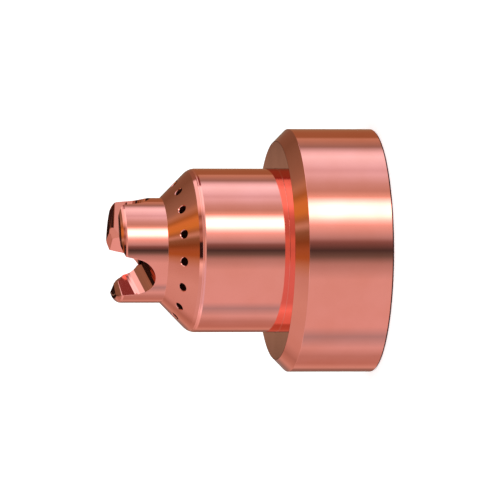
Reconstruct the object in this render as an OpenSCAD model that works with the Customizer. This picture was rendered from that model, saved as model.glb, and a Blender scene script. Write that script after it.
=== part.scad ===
// Drag shield of a hand-held plasma cutting torch, turned from one piece of copper bar.
// It stands on the rim of its threaded skirt with the nose upwards.
// Origin: centre of the rear rim. The axis of the shield is +Z and the first notch faces +X.

/* [Skirt] */
// Outer diameter of the skirt
skirt_d = 26; // [25:0.1:32]
// Height of the skirt, from the rear rim to its front face
skirt_h = 10.4; // [10:0.1:16]
// Chamfer round the front edge of the skirt
skirt_chamfer = 1.3; // [0.2:0.1:2]
// Small edge break round the outside of the rear rim
rim_break = 0.15; // [0.05:0.05:0.5]

/* [Body] */
// Diameter of the cylinder between the skirt and the cone
body_d = 17.5; // [16.5:0.1:20]
// Length of that cylinder
body_l = 9.4; // [6:0.1:20]
// Radius in the corner where the body meets the skirt's front face
body_fillet = 0.15; // [0.1:0.05:1.2]
// Radius over the corner between the body and the cone
shoulder_round = 1.45; // [0.2:0.05:2]

/* [Nose] */
// Diameter of the nose
nose_d = 11.2; // [10:0.1:13]
// Length of the nose in front of the cone
nose_l = 5.05; // [4.9:0.05:8]
// Angle between the cone and the axis
cone_angle = 45; // [40:1:50]
// Radius in the corner where the nose meets the cone
nose_fillet = 0.4; // [0.1:0.05:0.8]
// Radius round the outside of the tip
tip_round = 1.1; // [0.2:0.05:1.4]

/* [Crown] */
// Number of notches cut across the tip, leaving as many feet
notch_count = 3; // [2:1:4]
// Depth of each notch below the tip, where it leaves the nose
notch_depth = 3.85; // [3:0.05:4.4]
// Radius of the round bottom of each notch
notch_root_r = 2.25; // [1.2:0.05:2.4]
// Angle by which each side of a notch spreads towards the tip
notch_flare = 16; // [4:1:20]
// Angle by which each notch falls away outwards, so that slag runs off
notch_slope = 9; // [0:1:12]
// Diameter of the countersink that eases the inner corners of the feet
mouth_d = 7.2; // [6.4:0.1:8]

/* [Vents] */
// Number of vent holes round the cone
vent_count = 15; // [6:1:20]
// Diameter of each vent hole
vent_d = 0.9; // [0.4:0.05:1.2]
// Edge break round the mouth of each vent
vent_break = 0.1; // [0.02:0.01:0.2]
// Diameter of the circle on which the vents break out of the cone
vent_circle_d = 14.1; // [13.4:0.1:15]

/* [Inside] */
// Nominal diameter of the internal thread
thread_d = 22; // [19:0.5:23]
// Pitch of the thread
thread_pitch = 1.5; // [1:0.25:2]
// Length of the threaded bore, with its lead-in
thread_l = 6.6; // [5:0.1:7.2]
// Depth of the lead-in chamfer at the mouth of the thread
thread_lead_in = 1; // [0.9:0.1:1.5]
// Width of the relief groove behind the thread
relief_w = 1.6; // [0.8:0.1:2]
// How far the relief groove is cut past the nominal thread, in radius
relief_clearance = 0.15; // [0.05:0.05:0.4]
// Bore of the body
bore_d = 13.5; // [11:0.1:14.5]
// Chamfer where the bore opens into the skirt
bore_chamfer = 0.6; // [0.1:0.1:1]
// Thickness of the conical wall, measured square to its surface
cone_wall = 2.2; // [1.4:0.1:2.6]
// Diameter of the plasma orifice
orifice_d = 3.2; // [2:0.1:4]

/* [Hidden] */
$fn = 96;

// How far a cutter runs past the surface that it opens
cut_over = 1;
// Each arc is drawn this much over its radius, so that it crosses its straight sides instead of only touching them
arc_over = 0.001;
copper = [0.85, 0.49, 0.40];

skirt_r = skirt_d / 2;
body_r = body_d / 2;
nose_r = nose_d / 2;
bore_r = bore_d / 2;
orifice_r = orifice_d / 2;

// Heights of the outer steps above the rear rim
cone_z = skirt_h + body_l;
nose_z = cone_z + (body_r - nose_r) / tan(cone_angle);
tip_z = nose_z + nose_l;

// Length from a corner between the axis direction and the cone to where a radius of 1 touches it
corner_tangent = tan(cone_angle / 2);

// An internal thread leaves 5/8 of its sharp height, so the bore is the nominal size less 1.0825 pitches
thread_minor_r = (thread_d - 1.0825 * thread_pitch) / 2;
thread_mouth_r = thread_minor_r + thread_lead_in;
relief_r = thread_d / 2 + relief_clearance;
relief_step = relief_r - thread_minor_r;
seat_z = thread_l + relief_w;

// Inside cone, offset from the outer one by the wall
inner_cone_z = cone_z - cone_wall / sin(cone_angle) + (body_r - bore_r) / tan(cone_angle);
orifice_z = inner_cone_z + (bore_r - orifice_r) / tan(cone_angle);

// Notch in its own section, with height 0 at the middle of its round bottom:
// where the spreading sides leave the round, and where they end above the tip
notch_side_z = -notch_root_r * sin(notch_flare);
notch_side_y = notch_root_r * cos(notch_flare);
notch_top_z = notch_depth + cut_over;
notch_top_y = notch_side_y + (notch_top_z - notch_side_z) * tan(notch_flare);
// Height of that middle where the notch leaves the nose
notch_z = tip_z - notch_depth + notch_root_r / cos(notch_slope);

// Where a vent breaks out of the cone
vent_r = vent_circle_d / 2;
vent_z = nose_z - (vent_r - nose_r) / tan(cone_angle);

// Point at a distance from a corner, along the cone towards the tip
function up_cone(corner, distance) =
    corner + distance * [-sin(cone_angle), cos(cone_angle)];

// Half section of the outside, drawn as radius and height
module outside_section() {
    shoulder = [body_r, cone_z];
    root = [nose_r, nose_z];
    difference() {
        union() {
            polygon([
                [0, 0],
                [skirt_r - rim_break, 0],
                [skirt_r, rim_break],
                [skirt_r, skirt_h - skirt_chamfer],
                [skirt_r - skirt_chamfer, skirt_h],
                [body_r + body_fillet, skirt_h],
                [body_r, skirt_h + body_fillet],
                [body_r, cone_z - shoulder_round * corner_tangent],
                up_cone(shoulder, shoulder_round * corner_tangent),
                up_cone(root, -nose_fillet * corner_tangent),
                [nose_r, nose_z + nose_fillet * corner_tangent],
                [nose_r, tip_z - tip_round],
                [nose_r - tip_round, tip_z],
                [0, tip_z]
            ]);
            // Shoulder and tip are rounded over
            translate([body_r - shoulder_round, cone_z - shoulder_round * corner_tangent])
                circle(shoulder_round + arc_over);
            translate([nose_r - tip_round, tip_z - tip_round])
                circle(tip_round + arc_over);
        }
        // The two inside corners keep a radius from the turning tool
        translate([body_r + body_fillet, skirt_h + body_fillet])
            circle(body_fillet + arc_over);
        translate([nose_r + nose_fillet, nose_z + nose_fillet * corner_tangent])
            circle(nose_fillet + arc_over);
    }
}

// Half section of the bore, from the threaded mouth to the orifice
module inside_section() {
    polygon([
        [0, -cut_over],
        [thread_mouth_r + cut_over, -cut_over],
        [thread_minor_r, thread_lead_in],
        [thread_minor_r, thread_l],
        [relief_r, thread_l + relief_step],
        [relief_r, seat_z],
        [bore_r + bore_chamfer, seat_z],
        [bore_r, seat_z + bore_chamfer],
        [bore_r, inner_cone_z],
        [orifice_r, orifice_z],
        [orifice_r, tip_z + cut_over],
        [0, tip_z + cut_over]
    ]);
}

// Countersink at the front of the crown
module mouth_section() {
    polygon([
        [0, tip_z - mouth_d / 2],
        [mouth_d / 2 + cut_over, tip_z + cut_over],
        [0, tip_z + cut_over]
    ]);
}

// Notch with a round bottom, cut outwards and a little downwards from the axis
module notch() {
    translate([nose_r, 0, notch_z])
        rotate([0, notch_slope, 0])
            rotate([90, 0, 90])
                translate([0, 0, -nose_r])
                    linear_extrude(nose_r + cut_over) {
                        circle(notch_root_r + arc_over);
                        polygon([
                            [-notch_side_y, notch_side_z],
                            [notch_side_y, notch_side_z],
                            [notch_top_y, notch_top_z],
                            [-notch_top_y, notch_top_z]
                        ]);
                    }
}

// Vent drilled square to the cone, through its wall, with its mouth eased
module vent() {
    translate([vent_r, 0, vent_z])
        rotate([0, 90 - cone_angle, 0]) {
            translate([0, 0, -cone_wall - cut_over])
                cylinder(h = cone_wall + 2 * cut_over, d = vent_d, $fn = 24);
            translate([0, 0, -vent_break])
                cylinder(h = vent_break + cut_over, d1 = vent_d, d2 = vent_d + 2 * (vent_break + cut_over), $fn = 24);
        }
}

module drag_shield() {
    color(copper)
        difference() {
            rotate_extrude()
                outside_section();
            rotate_extrude()
                inside_section();
            rotate_extrude()
                mouth_section();
            for (i = [0 : notch_count - 1])
                rotate(i * 360 / notch_count)
                    notch();
            for (i = [0 : vent_count - 1])
                rotate(i * 360 / vent_count)
                    vent();
        }
}

drag_shield();
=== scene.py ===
# %% [markdown]
# # Drag shield of a plasma cutting torch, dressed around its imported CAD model
#
# The shield is one turned piece of copper. It screws over the torch's nozzle and drags along the
# plate on its three feet. The CAD model gives its size and its place: this script loads it, makes a
# finer copy of its shape with the thread and the eased edges that the CAD model leaves out, gives the
# copper its finish, and sets the light and the camera of the photograph.
#
# Blender works in metres here. The sizes of the part are written in millimetres and turned to metres
# by one factor, so that they can be compared with a drawing.

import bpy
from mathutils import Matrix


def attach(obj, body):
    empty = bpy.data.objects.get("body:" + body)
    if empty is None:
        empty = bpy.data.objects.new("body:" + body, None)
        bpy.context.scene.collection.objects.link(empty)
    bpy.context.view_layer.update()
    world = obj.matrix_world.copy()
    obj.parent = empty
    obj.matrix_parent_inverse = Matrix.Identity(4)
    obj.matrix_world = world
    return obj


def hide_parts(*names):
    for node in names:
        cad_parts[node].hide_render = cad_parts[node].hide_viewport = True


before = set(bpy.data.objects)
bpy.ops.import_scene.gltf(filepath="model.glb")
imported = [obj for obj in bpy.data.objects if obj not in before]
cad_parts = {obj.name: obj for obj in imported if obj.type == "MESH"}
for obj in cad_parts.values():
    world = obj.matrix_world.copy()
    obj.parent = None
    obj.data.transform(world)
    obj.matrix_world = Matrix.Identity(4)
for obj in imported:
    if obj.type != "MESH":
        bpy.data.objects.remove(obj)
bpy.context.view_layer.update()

import math

import bmesh
import bpy
import numpy as np
from mathutils import Matrix, Vector

MM = 0.001
print("packed nodes:", sorted(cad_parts))

# %% [markdown]
# ## The camera
#
# The photograph is a long-lens picture: lines that are parallel on the shield stay parallel in it. The
# shield lies on its side there, so the camera is rolled until the axis of the shield runs across the
# frame with the nose at the left. It looks down on the shield from ten degrees beyond square, which is
# why the front faces of the steps show as thin ellipses. A camera's own axes are the columns of its
# matrix: to the right, upwards, and backwards towards the photographer.

# %% Place the camera
AROUND = math.radians(273.85)    # compass angle of the camera round the axis, from +X
ABOVE = math.radians(10.2)       # how far it looks down on the front faces
DISTANCE = 888 * MM
AIM = Vector((0, 0, 13.17 * MM))
PIXEL = 0.10694 * MM             # what one pixel of the photograph covers at the axis
LOWER = 0.35                     # pixels by which the axis lies below the middle of the photograph
FRAME_PIXELS = 500

back = Vector((math.cos(AROUND) * math.cos(ABOVE), math.sin(AROUND) * math.cos(ABOVE), math.sin(ABOVE)))
picture_up = Vector((-math.sin(AROUND), math.cos(AROUND), 0))
picture_right = picture_up.cross(back)

camera = bpy.data.objects.new("camera", bpy.data.cameras.new("camera"))
camera.data.sensor_width = 36
camera.data.lens = camera.data.sensor_width * DISTANCE / (FRAME_PIXELS * PIXEL)
camera.matrix_world = Matrix((picture_right, picture_up, back)).transposed().to_4x4()
camera.data.shift_y = LOWER / FRAME_PIXELS
camera.location = AIM + back * DISTANCE
bpy.context.collection.objects.link(camera)
bpy.context.scene.camera = camera
bpy.context.scene.view_settings.view_transform = "Standard"
print(f"lens {camera.data.lens:.0f} mm at {DISTANCE:.3f} m")

# %% [markdown]
# ## Sizes of the shield
#
# Most of these are the CAD model's sizes. A few are finer, because polished metal shows what a drawing
# can leave out: in the photograph both inside corners look nearly sharp, the tip is rounded a little
# less, and the feet end in chamfers. A turned or milled corner is also never quite sharp, and it is the
# narrow light line along such an edge that tells the eye that a piece is solid metal.

# %% Sizes of the outside, in millimetres
SKIRT_R = 13.0
SKIRT_H = 10.4
SKIRT_CHAMFER = 1.3
RIM_BREAK = 0.15          # small chamfer round the rear rim
BODY_R = 8.75
BODY_L = 9.4
BODY_FILLET = 0.03        # the CAD model has 0.15
SHOULDER_ROUND = 1.45
NOSE_R = 5.6
NOSE_L = 5.05
NOSE_FILLET = 0.04        # the CAD model has 0.4
TIP_ROUND = 0.8           # the CAD model has 1.1
TURNED_EDGE = 0.06        # radius left on a corner by the turning tool

CONE_Z = SKIRT_H + BODY_L
NOSE_Z = CONE_Z + BODY_R - NOSE_R    # the cone stands at 45 degrees
TIP_Z = NOSE_Z + NOSE_L
print(f"length {TIP_Z:.2f} mm, diameter {2 * SKIRT_R:.2f} mm")

# %% Sizes of the inside
THREAD_MINOR_R = 10.188
THREAD_DEPTH = 0.812
THREAD_PITCH = 1.5
THREAD_L = 6.6
LEAD_IN = 1.0
RELIEF_R = 11.15
RELIEF_W = 1.6
RELIEF_CORNER = 0.2       # radius in the corner of the relief groove
BORE_R = 6.75
BORE_CHAMFER = 0.6
CONE_WALL = 2.2           # measured square to the cone
CONE_CORNER = 0.3         # radius where the bore meets the cone inside
ORIFICE_R = 1.6
MOUTH_R = 3.7             # outer radius of the countersink at the tip, 3.6 in the CAD model

SEAT_Z = THREAD_L + RELIEF_W
THREAD_END_Z = THREAD_L + RELIEF_R - THREAD_MINOR_R
INNER_CONE_Z = CONE_Z - CONE_WALL * math.sqrt(2) + BODY_R - BORE_R
ORIFICE_Z = INNER_CONE_Z + BORE_R - ORIFICE_R
print(f"seat at {SEAT_Z:.2f} mm, inner cone from {INNER_CONE_Z:.2f} to {ORIFICE_Z:.2f} mm")

# %% Sizes of the crown and the vents
NOTCHES = 3
NOTCH_DEPTH = 3.85
NOTCH_ROOT_R = 2.25
NOTCH_SLOPE = math.radians(9)    # the floor of a notch falls outwards
SIDE_FLARE = math.radians(10)    # the CAD model has plain sides of 16 degrees, without the chamfer below
MILLED_EDGE = 0.05               # radius brushed onto the outside of the notches
FOOT_CHAMFER = 0.68, 0.6         # from the side of a notch over to the end of the foot: width and height
FOOT_ROUND = 0.2                 # radius left on both edges of that chamfer
FOOT_LEAN = math.radians(5)      # the end of each foot falls a little towards the bore
VENTS = 15
VENT_R = 0.45
VENT_CIRCLE_R = 7.05
VENT_BREAK = 0.07                # the CAD model has 0.1

# The leaning end would be highest at its corner, and this puts the top of the rounded corner at TIP_Z
TIP_CORNER_Z = TIP_Z + TIP_ROUND * (math.tan(FOOT_LEAN) + 1 / math.cos(FOOT_LEAN) - 1)
ROOT_Z = TIP_Z - NOTCH_DEPTH + NOTCH_ROOT_R / math.cos(NOTCH_SLOPE)
VENT_Z = NOSE_Z + NOSE_R - VENT_CIRCLE_R
print(f"round of the notches centred at {ROOT_Z:.2f} mm, vents at {VENT_Z:.2f} mm")

# %% [markdown]
# ## The turned shape
#
# A lathe makes a shape from one half section spun about the axis, and so do the next cells. Blender
# could do it with a Screw modifier on a drawn outline. Here the rings are made in code, because the
# thread needs rings that climb, and because a mirror finish needs rings close to each corner: the
# shading normals bend only between the last two rings, and the long straight walls stay straight.
#
# Each corner of the outline has its own radius. A function replaces it by an arc.

# %% Outlines with round corners
def norm(vector):
    return vector / np.linalg.norm(vector)


def rounded(corners, step=7, fewest=3):
    """The open outline through corners (r, z, radius), each one rounded in steps of a few degrees."""
    points = []
    for i, (r, z, radius) in enumerate(corners):
        here = np.array((r, z), float)
        if not radius:
            points.append(here)
            continue
        to_last = norm(np.array(corners[i - 1][:2]) - here)
        to_next = norm(np.array(corners[i + 1][:2]) - here)
        half = math.acos(to_last @ to_next) / 2
        turn = math.pi - 2 * half
        centre = here + norm(to_last + to_next) * radius / math.sin(half)
        start = here + to_last * radius / math.tan(half) - centre
        end = here + to_next * radius / math.tan(half) - centre
        count = max(fewest, math.ceil(math.degrees(turn) / step))
        for k in range(count + 1):
            share = k / count * turn
            arm = (math.sin(turn - share) * start + math.sin(share) * end) / math.sin(turn)
            points.append(centre + arm)
    return points


def with_rings(points, longest=0.5, close=0.03):
    """Adds points to the long straights: one close to each end and more in between."""
    shortest = 8 * close
    dense = [points[0]]
    for a, b in zip(points, points[1:]):
        length = np.linalg.norm(b - a)
        if length > shortest:
            count = math.ceil(length / longest)
            shares = [close / length, *(k / count for k in range(1, count)), 1 - close / length]
            dense += [a + (b - a) * share for share in shares]
        dense.append(b)
    return dense


# %% The half section
section_corners = [    # (distance from the axis, height, radius of the corner)
    (THREAD_MINOR_R + LEAD_IN, 0, 0),
    (SKIRT_R - RIM_BREAK, 0, TURNED_EDGE),
    (SKIRT_R, RIM_BREAK, TURNED_EDGE),
    (SKIRT_R, SKIRT_H - SKIRT_CHAMFER, TURNED_EDGE),
    (SKIRT_R - SKIRT_CHAMFER, SKIRT_H, TURNED_EDGE),
    (BODY_R, SKIRT_H, BODY_FILLET),
    (BODY_R, CONE_Z, SHOULDER_ROUND),
    (NOSE_R, NOSE_Z, NOSE_FILLET),
    (NOSE_R, TIP_CORNER_Z, TIP_ROUND),
    (MOUTH_R, TIP_CORNER_Z - (NOSE_R - MOUTH_R) * math.tan(FOOT_LEAN), TURNED_EDGE),
    (ORIFICE_R, TIP_Z - MOUTH_R + ORIFICE_R, TURNED_EDGE),
    (ORIFICE_R, ORIFICE_Z, TURNED_EDGE),
    (BORE_R, INNER_CONE_Z, CONE_CORNER),
    (BORE_R, SEAT_Z + BORE_CHAMFER, TURNED_EDGE),
    (BORE_R + BORE_CHAMFER, SEAT_Z, TURNED_EDGE),
    (RELIEF_R, SEAT_Z, RELIEF_CORNER),
    (RELIEF_R, THREAD_END_Z, 0),
]
half_section = with_rings(rounded(section_corners))
print("rings in the half section:", len(half_section))

# %% [markdown]
# ## The thread
#
# The skirt screws onto the torch by a 60 degree thread cut inside it. It could be a spiral ribbon
# joined to a plain bore, but a cut thread is a groove in the wall itself, so the rings of the wall climb
# by one pitch in a turn and step in and out as they go. Where the climbing rings would leave the
# threaded length they are held at its end, and the points that fall together there are merged. The
# lead-in at the mouth and the run-out into the relief groove cut deeper than the thread and swallow it.

# %% The form of the thread
SEGMENTS = 240    # round the axis: a multiple of the notches and of the vents
THREAD_FORM = [    # (share of the pitch, share of the depth), with both flats eased a little
    (0.00, 0.05), (0.03, 0.00), (0.22, 0.00), (0.25, 0.05), (0.29, 0.13), (0.52, 0.87),
    (0.56, 0.96), (0.59, 1.00), (0.66, 1.00), (0.69, 0.96), (0.73, 0.87), (0.96, 0.13),
]


def thread_radius(z, depth_share):
    lead_in = THREAD_MINOR_R + LEAD_IN - z
    run_out = THREAD_MINOR_R + z - THREAD_L
    return max(THREAD_MINOR_R + THREAD_DEPTH * depth_share, lead_in, run_out)


# %% The spun mesh with its thread
SAME_POINT = 0.0005    # points that are closer than this are merged, in millimetres
SLIVER = 0.0002        # edges that are shorter than this are taken out


def spin_with_thread(section, turns):
    """A closed mesh: the rings of the section, and between its two ends the climbing rings."""
    mesh = bmesh.new()
    angles = [2 * math.pi * j / SEGMENTS for j in range(SEGMENTS + 1)]

    def ring(place):
        points = [place(j / SEGMENTS) for j in range(SEGMENTS + 1)]
        return [mesh.verts.new((r * math.cos(a) * MM, r * math.sin(a) * MM, z * MM))
                for (r, z), a in zip(points, angles)]

    rings = [ring(lambda share, p=p: p) for p in section]
    for turn in range(turns, -2, -1):    # ends one turn below the mouth, because the rings climb
        for pitch_share, depth_share in reversed(THREAD_FORM):
            def climb(share, at=turn + pitch_share, depth=depth_share):
                z = min(max((at + share) * THREAD_PITCH, 0), THREAD_END_Z)
                return thread_radius(z, depth), z
            rings.append(ring(climb))
    rings.append(rings[0])
    for low, high in zip(rings, rings[1:]):
        for j in range(SEGMENTS):
            mesh.faces.new((low[j], low[j + 1], high[j + 1], high[j]))
    bmesh.ops.remove_doubles(mesh, verts=mesh.verts, dist=SAME_POINT * MM)
    bmesh.ops.dissolve_degenerate(mesh, dist=SLIVER * MM, edges=mesh.edges)
    bmesh.ops.recalc_face_normals(mesh, faces=mesh.faces)
    return mesh


def as_object(name, mesh):
    data = bpy.data.meshes.new(name)
    mesh.to_mesh(data)
    mesh.free()
    thing = bpy.data.objects.new(name, data)
    bpy.context.collection.objects.link(thing)
    return thing


def open_edges(thing):
    mesh = bmesh.new()
    mesh.from_mesh(thing.data)
    count = sum(not edge.is_manifold for edge in mesh.edges)
    mesh.free()
    return count


thread_turns = math.ceil(THREAD_END_Z / THREAD_PITCH)
shield = as_object("copper_shield", spin_with_thread(half_section, thread_turns))
print("spun mesh:", len(shield.data.polygons), "faces,", open_edges(shield), "open edges")

# %% [markdown]
# ## The three notches
#
# On the real shield an end mill cuts three round-bottomed notches across the tip. The same is done here
# with cutters and Blender's Boolean modifier. Its Manifold solver is fast, and leaves closed meshes
# closed.
#
# A cutter is a profile swept outwards along the floor of the notch. The profile is the round bottom, two
# straight sides, and a chamfer over to the end of each foot. The floor falls outwards while the ends of
# the feet fall inwards, so the swept profile twists from the one slope at its bottom to the other at
# its top. Just before it leaves the metal it flares along a quarter circle, so the same cut also rounds
# the outer edge of the notch.

# %% The profile of a notch
OVER_FOOT = 0.01    # the chamfer runs out this far above the foot, so that no sliver is left on it
WING = 2            # how far the cutter reaches over the end of the foot
LID = 1, 3          # from there, how far it spreads and rises
HAIR = 0.001        # a length that counts as none


def notch_profile():
    """Side, height and the way into the metal at each point. Height 0 is the middle of the round."""
    tip = TIP_CORNER_Z + OVER_FOOT - ROOT_Z
    width, height = FOOT_CHAMFER
    side = NOTCH_ROOT_R / math.cos(SIDE_FLARE) + (tip - height) * math.tan(SIDE_FLARE)
    corners = [
        (0, -NOTCH_ROOT_R / math.sin(SIDE_FLARE), NOTCH_ROOT_R),
        (side, tip - height, FOOT_ROUND),
        (side + width, tip, FOOT_ROUND),
        (side + width + WING, tip, 0),
        (side + width + WING + LID[0], tip + LID[1], 0),
    ]
    mirrored = [(-side, height, radius) for side, height, radius in reversed(corners[1:])]
    points = with_rings(rounded(mirrored + corners), longest=1.0)
    ways = []
    for last, here, next_ in zip(points[:1] + points, points, points[1:] + points[-1:]):
        along = norm(next_ - last) * (here[1] < tip - HAIR)      # above the foot there is no metal
        ways.append((along[1], -along[0]))
    return tip, [(*point, *way) for point, way in zip(points, ways)]


def cut_level(x, side, height, tip):
    """The floor falls outwards; towards the tip the cut turns into line with the end of the foot."""
    share = min(max(height / tip, 0), 1)
    floor = (NOSE_R - x) * math.tan(NOTCH_SLOPE)
    end = (math.hypot(x, side) - NOSE_R) * math.tan(FOOT_LEAN)
    return ROOT_Z + height + floor * (1 - share) + end * share


def nose_reach(side, level):
    """How far out the nose reaches at that side and level, over the rounded tip as well."""
    over = min(max(level - (TIP_Z - TIP_ROUND), 0) / TIP_ROUND, 1)
    radius = NOSE_R - TIP_ROUND * (1 - math.sqrt(1 - over ** 2))
    return math.sqrt(max(radius ** 2 - side ** 2, 0))


# %% The cutter of a notch
def loft(name, rings):
    """A closed mesh through rings of equally many points in millimetres, with its two ends filled."""
    mesh = bmesh.new()
    rows = [[mesh.verts.new([value * MM for value in point]) for point in ring] for ring in rings]
    for low, high in zip(rows, rows[1:]):
        for j in range(len(low)):
            mesh.faces.new((low[j - 1], low[j], high[j], high[j - 1]))
    mesh.faces.new(rows[0])
    mesh.faces.new(rows[-1])
    bmesh.ops.recalc_face_normals(mesh, faces=mesh.faces)
    return as_object(name, mesh)


CUT_START_X = 0.3           # near the axis, inside the orifice
CUT_END_X = NOSE_R + 2      # clear of the nose
PAST_EDGE = 1.0             # how far the cut runs straight on behind the outer edge
QUARTER = np.radians((0, 22.5, 45, 67.5, 90))
SETTLING = 12               # rounds in which the reach and the level settle


def notch_cutter(turn):
    """Swept rings: from near the axis, along the floor, round the outer edge and clear of the nose."""
    tip, profile = notch_profile()
    edge = MILLED_EDGE
    quarter = [(edge * math.sin(a) - edge, edge - edge * math.cos(a)) for a in QUARTER]
    # Each step is how far along past the outer edge, and how deep into the metal
    steps = [(None, 0.0), *quarter, (PAST_EDGE, edge), (None, edge)]
    rings = []
    for along, deep in steps:
        ring = []
        for side, height, out_side, out_height in profile:
            aside = side + deep * out_side
            up = height + deep * out_height
            if along is None:
                x = CUT_END_X if rings else CUT_START_X
            else:
                x = nose_reach(aside, ROOT_Z + up)
                for _ in range(SETTLING):     # the floor slopes, so the level depends on the reach
                    x = (x + nose_reach(aside, cut_level(x, aside, up, tip))) / 2
                x = max(x, CUT_START_X + edge) + along
            ring.append((x * math.cos(turn) - aside * math.sin(turn),
                         x * math.sin(turn) + aside * math.cos(turn),
                         cut_level(x, aside, up, tip)))
        rings.append(ring)
    return loft("notch_cutter", rings)


print("points across a notch:", len(notch_profile()[1]))

# %% [markdown]
# ## The vents
#
# A small drill makes fifteen vents square to the cone, and its shoulder eases the mouth of each. They are
# cut after the notches and in the same way, one cutter at a time.

# %% The cutter of a vent, and all the cuts
DRILL_OVER = 1        # how far the drill runs past the wall
SHOULDER_OVER = 0.5   # how far its shoulder stands out of the cone
DRILL_SIDES = 32


def circle(radius, level):
    return [(radius * math.cos(a), radius * math.sin(a), level)
            for a in (2 * math.pi * k / DRILL_SIDES for k in range(DRILL_SIDES))]


def vent_cutter(turn):
    """A drill with a shoulder that eases the mouth of its hole."""
    drill = loft("vent_cutter", [
        circle(VENT_R, -CONE_WALL - DRILL_OVER),
        circle(VENT_R, -VENT_BREAK),
        circle(VENT_R + VENT_BREAK + SHOULDER_OVER, SHOULDER_OVER),
    ])
    mouth = Vector((VENT_CIRCLE_R, 0, VENT_Z)) * MM
    drill.data.transform(Matrix.Rotation(turn, 4, "Z") @ Matrix.Translation(mouth)
                         @ Matrix.Rotation(math.pi / 4, 4, "Y"))
    return drill


def boolean_cut(thing, cutter):
    cut = thing.modifiers.new("cut", "BOOLEAN")
    cut.operation = "DIFFERENCE"
    cut.solver = "MANIFOLD"
    cut.object = cutter
    bpy.context.view_layer.objects.active = thing
    bpy.ops.object.modifier_apply(modifier=cut.name)


for make, count in ((notch_cutter, NOTCHES), (vent_cutter, VENTS)):
    for i in range(count):
        cutter = make(2 * math.pi * i / count)
        boolean_cut(shield, cutter)
        bpy.data.objects.remove(cutter)
print("cut mesh:", len(shield.data.polygons), "faces,", open_edges(shield), "open edges")

# %% [markdown]
# ## Shading that follows the metal
#
# The mesh is fine enough that its faces can be shaded as one smooth surface wherever they meet at less
# than 25 degrees. Sharper meetings stay edges. The cuts leave long thin faces beside large ones, and
# plain smooth shading would draw them as fans of light on the flat walls. The Weighted Normal modifier
# lets each face count by its area, so the walls stay flat to the eye up to their rounded edges.

# %% Smooth shading and the link to the CAD node
SMOOTH_BELOW = math.radians(25)

shield.data.shade_smooth()
shield.data.set_sharp_from_angle(angle=SMOOTH_BELOW)
even = shield.modifiers.new("even_shading", "WEIGHTED_NORMAL")
even.mode = "FACE_AREA"
even.keep_sharp = True
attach(shield, "root")
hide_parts("drag_shield")
print("sharp edges:", sum(edge.use_edge_sharp for edge in shield.data.edges))

# %% [markdown]
# ## A helper for node trees
#
# A material is a tree of nodes, and written out in full each node takes several lines. One function adds
# a node with its settings and its links, so that the materials below read as lists of what they are made
# of. Their colours are written as sRGB hex values, the way a colour picker shows them, and one function
# turns them to the linear values that the shaders use.

# %% Colours and nodes
def linear(hex_colour):
    """An sRGB hex colour as the linear RGBA that Blender's shaders use."""
    values = [int(hex_colour[i:i + 2], 16) / 255 for i in (1, 3, 5)]
    return [v / 12.92 if v <= 0.04045 else ((v + 0.055) / 1.055) ** 2.4 for v in values] + [1]


def add_node(tree, kind, inputs=None, **settings):
    """One node: settings are its own properties, inputs are values or the sockets that feed it."""
    node = tree.nodes.new(kind)
    for key, value in settings.items():
        setattr(node, key, value)
    for key, value in (inputs or {}).items():
        if isinstance(value, bpy.types.NodeSocket):
            tree.links.new(value, node.inputs[key])
        else:
            node.inputs[key].default_value = value
    return node


def colour_stops(ramp_node, stops):
    """Gives a Color Ramp its stops: (position, linear RGBA)."""
    ramp = ramp_node.color_ramp
    while len(ramp.elements) > 1:
        ramp.elements.remove(ramp.elements[-1])
    ramp.elements[0].position, ramp.elements[0].color = stops[0]
    for position, colour in stops[1:]:
        ramp.elements.new(position).color = colour


def empty_tree(data):
    """The node tree of a material or a world, with nothing in it yet."""
    data.use_nodes = True
    data.node_tree.nodes.clear()
    return data.node_tree


# %% [markdown]
# ## The copper
#
# Drag shields are turned from copper rod, because copper carries the arc's heat away before the feet
# can melt. A polished metal has no colour of its own beneath the surface: all that the eye gets is the
# room, mirrored and tinted. So the base colour is the tint, metallic is 1, and the roughness is low.
# Three faint things keep it from looking like paint: the tool's feed leaves fine rings, fingers and air
# leave patches that are a little duller, and there the tint is a little browner.

# %% The turned copper
CLEAN_TINT = "#F79687"
WORN_TINT = "#F18E7C"
EDGE_TINT = "#FDD2C4"         # a mirror pales towards its edges, and this keeps them copper
CLEAN_ROUGHNESS = 0.055
WORN_ROUGHNESS = 0.085
PATCH_SIZE = 5 * MM
PATCH_RANGE = 0.35, 0.75      # the noise values of clean metal and of a dull patch
RING_SPACING = 0.16 * MM      # twice a real finishing feed, which would be finer than a pixel
RING_DEPTH = 0.0004 * MM

copper = bpy.data.materials.new("turned_copper")
tree = empty_tree(copper)
place = add_node(tree, "ShaderNodeTexCoord").outputs["Object"]
patches = add_node(tree, "ShaderNodeTexNoise", {"Vector": place, "Scale": 1 / PATCH_SIZE, "Detail": 3.0})
tint = add_node(tree, "ShaderNodeValToRGB", {"Fac": patches.outputs["Fac"]})
colour_stops(tint, [(PATCH_RANGE[0], linear(CLEAN_TINT)), (PATCH_RANGE[1], linear(WORN_TINT))])
dull = add_node(tree, "ShaderNodeMapRange", {
    "Value": patches.outputs["Fac"], "From Min": PATCH_RANGE[0], "From Max": PATCH_RANGE[1],
    "To Min": CLEAN_ROUGHNESS, "To Max": WORN_ROUGHNESS})
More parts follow.
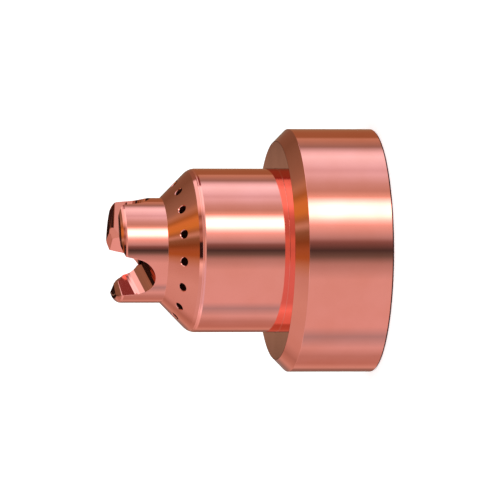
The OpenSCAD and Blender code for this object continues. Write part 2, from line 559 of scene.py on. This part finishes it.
# The rings are spaced along the wall: up a cylinder, outwards over a face, and both on the cone
split = add_node(tree, "ShaderNodeSeparateXYZ", {"Vector": place})
flat = add_node(tree, "ShaderNodeCombineXYZ", {"X": split.outputs["X"], "Y": split.outputs["Y"]})
radius = add_node(tree, "ShaderNodeVectorMath", {0: flat.outputs["Vector"]}, operation="LENGTH")
along = add_node(tree, "ShaderNodeMath", {0: split.outputs["Z"], 1: radius.outputs["Value"]},
                 operation="SUBTRACT")
rings = add_node(tree, "ShaderNodeTexNoise", {
    "W": along.outputs["Value"], "Scale": 1 / RING_SPACING, "Detail": 1.0}, noise_dimensions="1D")
grooves = add_node(tree, "ShaderNodeBump", {
    "Height": rings.outputs["Fac"], "Strength": 1.0, "Distance": RING_DEPTH})
surface = add_node(tree, "ShaderNodeBsdfPrincipled", {
    "Base Color": tint.outputs["Color"], "Metallic": 1.0, "Roughness": dull.outputs["Result"],
    "Specular Tint": linear(EDGE_TINT), "Normal": grooves.outputs["Normal"]})
add_node(tree, "ShaderNodeOutputMaterial", {"Surface": surface.outputs["BSDF"]})
print(copper.name, "has", len(tree.nodes), "nodes")

# %% [markdown]
# ## Inside the vents
#
# A drill leaves a rougher wall than a turning tool. So the walls of the vents and the cone behind them
# get a
# second material: the same metal, scored by the drill, and browned as painted shade for the shade that
# lies deep in the holes. It is chosen by place, which is how the drill reached them.

# %% The drilled copper, with painted shade
# Painted shade for the insides of the vents: a light and a deep brown
LIGHT_PAINTED_SHADE = "#9A5A4A"
DEEP_PAINTED_SHADE = "#6A3A30"
SHADE_AND_SCORE_SIZE = 0.4 * MM
PAINTED_SHADE_RANGE = 0.35, 0.7       # the noise values of light and of deep painted shade
SCORE_DEPTH = 0.01 * MM

drilled_with_painted_shade = bpy.data.materials.new("drilled_copper_with_painted_shade")
tree = empty_tree(drilled_with_painted_shade)
place = add_node(tree, "ShaderNodeTexCoord").outputs["Object"]
shade_and_scores = add_node(tree, "ShaderNodeTexNoise", {"Vector": place, "Scale": 1 / SHADE_AND_SCORE_SIZE, "Detail": 2.0})
# Painted shade: a brown that darkens the vents and the inner cone, patchy by the noise
painted_shade = add_node(tree, "ShaderNodeValToRGB", {"Fac": shade_and_scores.outputs["Fac"]})
colour_stops(painted_shade, [(PAINTED_SHADE_RANGE[0], linear(LIGHT_PAINTED_SHADE)), (PAINTED_SHADE_RANGE[1], linear(DEEP_PAINTED_SHADE))])
scores = add_node(tree, "ShaderNodeBump", {"Height": shade_and_scores.outputs["Fac"], "Distance": SCORE_DEPTH})
surface = add_node(tree, "ShaderNodeBsdfPrincipled", {
    "Base Color": painted_shade.outputs["Color"], "Metallic": 1.0, "Roughness": 0.45,
    "Normal": scores.outputs["Normal"]})
add_node(tree, "ShaderNodeOutputMaterial", {"Surface": surface.outputs["BSDF"]})
print(drilled_with_painted_shade.name, "has", len(tree.nodes), "nodes")

# %% The faces that it covers
NEAR_CONE = 0.05    # how far a face may lie from the inner cone and still count as part of it
NEAR_WALL = 0.01    # the same for the wall of a vent


def drilled_and_painted_shade_face(x, y, z):
    """True on the wall of a vent below its eased mouth, and on the cone inside: the faces with the
    drill's scoring and the painted shade.
    """
    radius = math.hypot(x, y)
    if radius < BORE_R and abs(radius + z - BORE_R - INNER_CONE_Z) < NEAR_CONE:
        return True
    pitch = 2 * math.pi / VENTS
    off = math.remainder(math.atan2(y, x), pitch)
    out, aside = radius * math.cos(off) - VENT_CIRCLE_R, radius * math.sin(off)
    up = z - VENT_Z
    depth, across = (out + up) / math.sqrt(2), (out - up) / math.sqrt(2)
    within = -CONE_WALL - DRILL_OVER < depth < -VENT_BREAK / 2
    return within and math.hypot(across, aside) < VENT_R + NEAR_WALL


shield.data.materials.clear()
for material in (copper, drilled_with_painted_shade):
    shield.data.materials.append(material)
painted_shade_faces = 0
# The vent walls and the inner cone get the scored copper with its painted shade
for face in shield.data.polygons:
    face.material_index = int(drilled_and_painted_shade_face(*(face.center / MM)))
    painted_shade_faces += face.material_index
print("drilled faces:", painted_shade_faces)

# %% [markdown]
# ## The floor
#
# A white sheet under the shield keeps its soft shadow. It has to look white to the camera without more
# light on the object, so a little of its white is its own for camera rays. Seen from below it is clear,
# so that the thread can be looked at, and the copper doesn't mirror it: what the copper mirrors is the
# studio, set up in the next cells.

# %% The floor
PAPER_GRAIN = 0.6 * MM
OWN_WHITE = 0.4             # the part of the paper's white that is its own
FLOOR_SIZE = 4              # metres
FLOOR_GAP = 0.01 * MM       # keeps the paper out of the rim's own plane

paper = bpy.data.materials.new("white_paper")
tree = empty_tree(paper)
grain = add_node(tree, "ShaderNodeTexNoise", {"Scale": 1 / PAPER_GRAIN, "Detail": 2.0})
shade = add_node(tree, "ShaderNodeValToRGB", {"Fac": grain.outputs["Fac"]})
colour_stops(shade, [(0.3, linear("#F2F2F2")), (0.7, linear("#F5F5F5"))])
matt = add_node(tree, "ShaderNodeBsdfDiffuse", {"Color": shade.outputs["Color"]})
ray = add_node(tree, "ShaderNodeLightPath")
own = add_node(tree, "ShaderNodeMath", {0: ray.outputs["Is Camera Ray"], 1: OWN_WHITE},
               operation="MULTIPLY")
glow = add_node(tree, "ShaderNodeEmission", {"Color": (1, 1, 1, 1), "Strength": own.outputs["Value"]})
lit = add_node(tree, "ShaderNodeAddShader", {0: matt.outputs["BSDF"], 1: glow.outputs["Emission"]})
under = add_node(tree, "ShaderNodeNewGeometry")
clear = add_node(tree, "ShaderNodeBsdfTransparent")
either = add_node(tree, "ShaderNodeMixShader", {
    0: under.outputs["Backfacing"], 1: lit.outputs["Shader"], 2: clear.outputs["BSDF"]})
add_node(tree, "ShaderNodeOutputMaterial", {"Surface": either.outputs["Shader"]})

bpy.ops.mesh.primitive_plane_add(size=FLOOR_SIZE, location=(0, 0, -FLOOR_GAP))
floor = bpy.context.object
floor.name = "floor"
floor.data.materials.append(paper)
floor.visible_glossy = False
print("floor:", FLOOR_SIZE, "m square")

# %% [markdown]
# ## The studio that the copper mirrors
#
# Polished metal shows nothing but its surroundings, so the bands on the shield are the studio. A
# cylinder mirrors a ring of directions: a point that has turned away from the camera by some angle
# mirrors what stands twice that angle round the room. The photograph's bands are the same on the skirt,
# the body and the nose when they are read that way, which tells where its white light strip, its pale
# panels and its dark gaps stood. The rounded shoulder and the cone lean back, and mirror what stands
# higher up: the bright edges of the panels, and a ceiling with a warm light in it.
#
# Lamps on stands could do it. A world shader is simpler, and keeps every side view clear. It is made of
# rings, one above the other. Each ring is a list of the light that stands at each half angle round the
# room, and each one takes over from the ring below it where the mirroring surface leans back by more.
# The levels of the lowest ring and of the ceiling were read off the photograph. Most of them are its
# colours on the skirt and on the cone at that angle, divided by the copper's tint, and the others were
# changed. The levels of the rings between were set over several trials.

# %% The lowest ring, behind the upright walls
RING = [    # half angle on the camera's side, in degrees, and the light that the upright walls mirror
    (-90, (0.36, 0.30, 0.18)), (-68, (0.37, 0.30, 0.17)), (-66, (0.60, 0.62, 0.49)),
    (-64, (0.55, 0.55, 0.44)), (-58, (0.36, 0.40, 0.38)), (-53, (1.05, 1.45, 1.75)),
    (-50, (1.15, 1.72, 2.06)), (-44, (0.98, 1.33, 1.62)), (-41, (0.83, 1.04, 1.25)),
    (-38, (0.90, 1.15, 1.36)), (-33, (0.70, 0.77, 0.78)), (-29, (0.63, 0.63, 0.57)),
    (-26, (0.93, 0.95, 0.84)), (-23, (3.0, 3.1, 3.3)), (-21, (4.6, 4.6, 4.6)),
    (-17.5, (4.6, 4.6, 4.6)), (-14, (1.9, 1.95, 2.04)), (-12, (1.05, 1.08, 1.06)),
    (-6, (0.56, 0.63, 0.66)), (-4, (0.26, 0.22, 0.21)), (0, (0.07, 0.08, 0.08)),
    (3, (0.17, 0.21, 0.19)), (6.5, (0.50, 0.53, 0.52)), (14, (0.77, 0.80, 0.80)),
    (39, (0.79, 0.81, 0.83)), (45, (0.49, 0.61, 0.69)), (53, (0.77, 0.84, 0.88)),
    (60, (0.56, 0.55, 0.54)), (68, (0.54, 0.50, 0.48)), (74, (0.70, 0.76, 0.77)),
    (79, (0.30, 0.27, 0.25)), (90, (0.30, 0.27, 0.20)),
]
print("stops in the lowest ring:", len(RING))

# %% The rings that the shoulder mirrors
RAILS = [    # bright edges of the panels, which stand at two heights
    (-90, (0.36, 0.30, 0.18)), (-66, (0.36, 0.30, 0.18)), (-62, (0.25, 0.09, 0.09)),
    (-53, (0.25, 0.09, 0.09)), (-51, (1.40, 1.90, 2.20)), (-34, (1.40, 1.80, 2.10)),
    (-27, (0.90, 1.00, 1.05)), (-22, (0.65, 0.70, 0.75)), (-12, (0.60, 0.65, 0.65)),
    (-7, (0.80, 0.85, 0.80)), (0, (0.70, 0.75, 0.75)), (6, (0.80, 0.85, 0.85)),
    (12, (0.80, 0.95, 1.15)), (40, (0.80, 0.95, 1.15)), (48, (1.20, 1.40, 1.60)),
    (57, (0.95, 1.05, 1.15)), (74, (0.75, 0.80, 0.85)), (80, (0.33, 0.30, 0.25)),
    (90, (0.33, 0.30, 0.20)),
]
UPPER = [    # between the two bright edges
    (-90, (0.30, 0.28, 0.20)), (-68, (0.40, 0.36, 0.28)), (-60, (0.90, 1.10, 1.20)),
    (-50, (1.20, 1.50, 1.75)), (-36, (1.20, 1.45, 1.60)), (-30, (0.95, 1.05, 1.05)),
    (-25, (0.40, 0.32, 0.24)), (-20, (0.75, 0.75, 0.70)), (-12, (0.60, 0.50, 0.42)),
    (-5, (0.60, 0.46, 0.38)), (6, (0.60, 0.46, 0.38)), (10, (1.00, 1.15, 1.15)),
    (15, (0.85, 0.95, 1.00)), (20, (0.76, 0.80, 0.80)), (44, (0.80, 0.85, 0.90)),
    (50, (1.00, 1.10, 1.20)), (66, (0.75, 0.80, 0.85)), (76, (0.60, 0.62, 0.62)),
    (90, (0.30, 0.28, 0.20)),
]
EAVES = [    # below the ceiling
    (-90, (0.28, 0.27, 0.20)), (-62, (0.30, 0.24, 0.18)), (-59, (1.10, 1.40, 1.60)),
    (-43, (1.15, 1.40, 1.50)), (-34, (1.15, 1.35, 1.40)), (-30, (0.90, 0.85, 0.75)),
    (-25, (0.28, 0.18, 0.12)), (-20, (0.60, 0.50, 0.40)), (-15, (0.30, 0.18, 0.12)),
    (-11, (0.50, 0.42, 0.34)), (-6.5, (0.35, 0.22, 0.16)), (-5.5, (0.03, 0.02, 0.02)),
    (5, (0.03, 0.02, 0.02)), (7, (0.60, 0.55, 0.50)), (10, (1.10, 1.25, 1.25)),
    (15, (0.90, 1.00, 1.00)), (20, (0.68, 0.68, 0.66)), (56, (0.72, 0.74, 0.74)),
    (66, (0.52, 0.48, 0.44)), (80, (0.60, 0.62, 0.62)), (90, (0.30, 0.28, 0.20)),
]
print("stops in the rings above it:", len(RAILS), len(UPPER), len(EAVES))

# %% The ceiling, and what lies beyond the rings
CEILING = [    # overhead, mirrored by the cone and the chamfer
    (-90, (0.26, 0.27, 0.21)), (-66, (0.21, 0.20, 0.13)), (-46, (0.30, 0.29, 0.20)),
    (-38, (0.36, 0.34, 0.24)), (-33, (0.50, 0.45, 0.28)), (-28, (0.42, 0.28, 0.08)),
    (-24, (0.70, 0.46, 0.12)), (-19, (0.69, 0.47, 0.10)), (-15, (0.42, 0.30, 0.11)),
    (-12, (0.62, 0.60, 0.46)), (-9, (0.28, 0.23, 0.12)), (-4, (0.24, 0.13, 0.04)),
    (0, (0.38, 0.20, 0.07)), (4, (0.42, 0.22, 0.06)), (8, (0.53, 0.43, 0.27)),
    (14, (0.62, 0.58, 0.52)), (28, (0.70, 0.69, 0.64)), (56, (0.67, 0.66, 0.64)),
    (66, (0.46, 0.42, 0.38)), (72, (0.54, 0.52, 0.48)), (78, (0.64, 0.68, 0.68)),
    (86, (0.32, 0.36, 0.36)),
]
# Higher up, the ceiling has a dark opening straight ahead, which the ends of the feet mirror
HATCH = [(angle, (0.03, 0.02, 0.02) if abs(angle) < 6 else colour) for angle, colour in CEILING]
BEHIND = (0.30, 0.34, 0.27)      # mirrored by the flat front faces
GAP = (0.02, 0.015, 0.012)       # the dark gap between the ceiling and the back of the room
GROUND = (0.05, 0.04, 0.035)     # below everything
print("stops in the ceiling:", len(CEILING))

# %% [markdown]
# ## Reading the rings
#
# A surface mirrors a direction to the camera where its normal lies half way between that direction and
# the way to the camera. So the shader adds the two, and what comes out is the normal of the metal that
# will show this light: how far it is turned from the camera picks the stop, and how far it leans back
# picks the ring. The way to the photograph's camera is written in as a constant. The room stays where it
# is when another camera looks at the shield.
#
# Only glossy rays see the studio. Everything else is lit by a plain white sky of strength 1, under which
# a colour renders about as it is written.

# %% The angles of the mirroring surface
world = bpy.data.worlds.new("studio")
bpy.context.scene.world = world
tree = empty_tree(world)
direction = add_node(tree, "ShaderNodeTexCoord").outputs["Generated"]
facing = add_node(tree, "ShaderNodeMapping", {"Vector": direction, "Rotation": (0, 0, -AROUND)})
half_way = add_node(tree, "ShaderNodeVectorMath", {
    0: facing.outputs["Vector"], 1: (math.cos(ABOVE), 0, math.sin(ABOVE))}, operation="ADD")
normal = add_node(tree, "ShaderNodeVectorMath", {0: half_way.outputs["Vector"]}, operation="NORMALIZE")
lean = add_node(tree, "ShaderNodeSeparateXYZ", {"Vector": normal.outputs["Vector"]}).outputs["Z"]
turn = add_node(tree, "ShaderNodeTexGradient", {"Vector": normal.outputs["Vector"]},
                gradient_type="RADIAL")
# A turn runs from 0 to 1 there, so the angles from -90 to 90 degrees lie between 0.75 and 0.25
half_angle = add_node(tree, "ShaderNodeMapRange", {
    "Value": turn.outputs["Fac"], "From Min": 0.75, "From Max": 0.25})
print("nodes that read the angles:", len(tree.nodes))

# %% The rings, laid one over the other
TOP = 5.0     # the brightest that a ramp can hold, since its colours go from 0 to 1
FACTOR, COLOUR_A, COLOUR_B, COLOUR_OUT = 0, 6, 7, 2     # a Mix node's sockets for colours


def plain_light(colour):
    return (*(c / TOP for c in colour), 1)


def light_round(stops):
    """The light of one ring at the half angle that the surface is turned to."""
    ramp = add_node(tree, "ShaderNodeValToRGB", {"Fac": half_angle.outputs["Result"]})
    colour_stops(ramp, [(0.5 + angle / 180, plain_light(colour)) for angle, colour in stops])
    return ramp.outputs["Color"]


def above(below, colour, start, end):
    """Lays a colour over the one below, from where the mirroring surface leans back by start to end."""
    low = math.sin(math.radians(start))
    high = math.sin(math.radians(end))
    share = add_node(tree, "ShaderNodeMapRange", {"Value": lean, "From Min": low, "From Max": high},
                     interpolation_type="SMOOTHSTEP")
    mix = add_node(tree, "ShaderNodeMix", {
        FACTOR: share.outputs["Result"], COLOUR_A: below, COLOUR_B: colour}, data_type="RGBA")
    return mix.outputs[COLOUR_OUT]


rails = light_round(RAILS)
layers = [    # what takes over, and the leans in degrees between which it does
    (light_round(RING), -16, -8),
    (rails, 7.5, 8.5),
    (light_round(UPPER), 15, 16),
    (rails, 19.5, 20.5),
    (light_round(EAVES), 22, 23),
    (light_round(CEILING), 37, 39),
    (light_round(HATCH), 48, 52),
    (plain_light(GAP), 60, 68),
    (plain_light(BEHIND), 87, 88.5),
]
light = plain_light(GROUND)
for colour, start, end in layers:
    light = above(light, colour, start, end)
studio = add_node(tree, "ShaderNodeBackground", {"Color": light, "Strength": TOP})
plain = add_node(tree, "ShaderNodeBackground", {"Color": (1, 1, 1, 1), "Strength": 1.0})
ray = add_node(tree, "ShaderNodeLightPath")
seen = add_node(tree, "ShaderNodeMixShader", {
    0: ray.outputs["Is Glossy Ray"], 1: plain.outputs["Background"], 2: studio.outputs["Background"]})
add_node(tree, "ShaderNodeOutputWorld", {"Surface": seen.outputs["Shader"]})
print("studio:", len(layers), "layers over the ground")
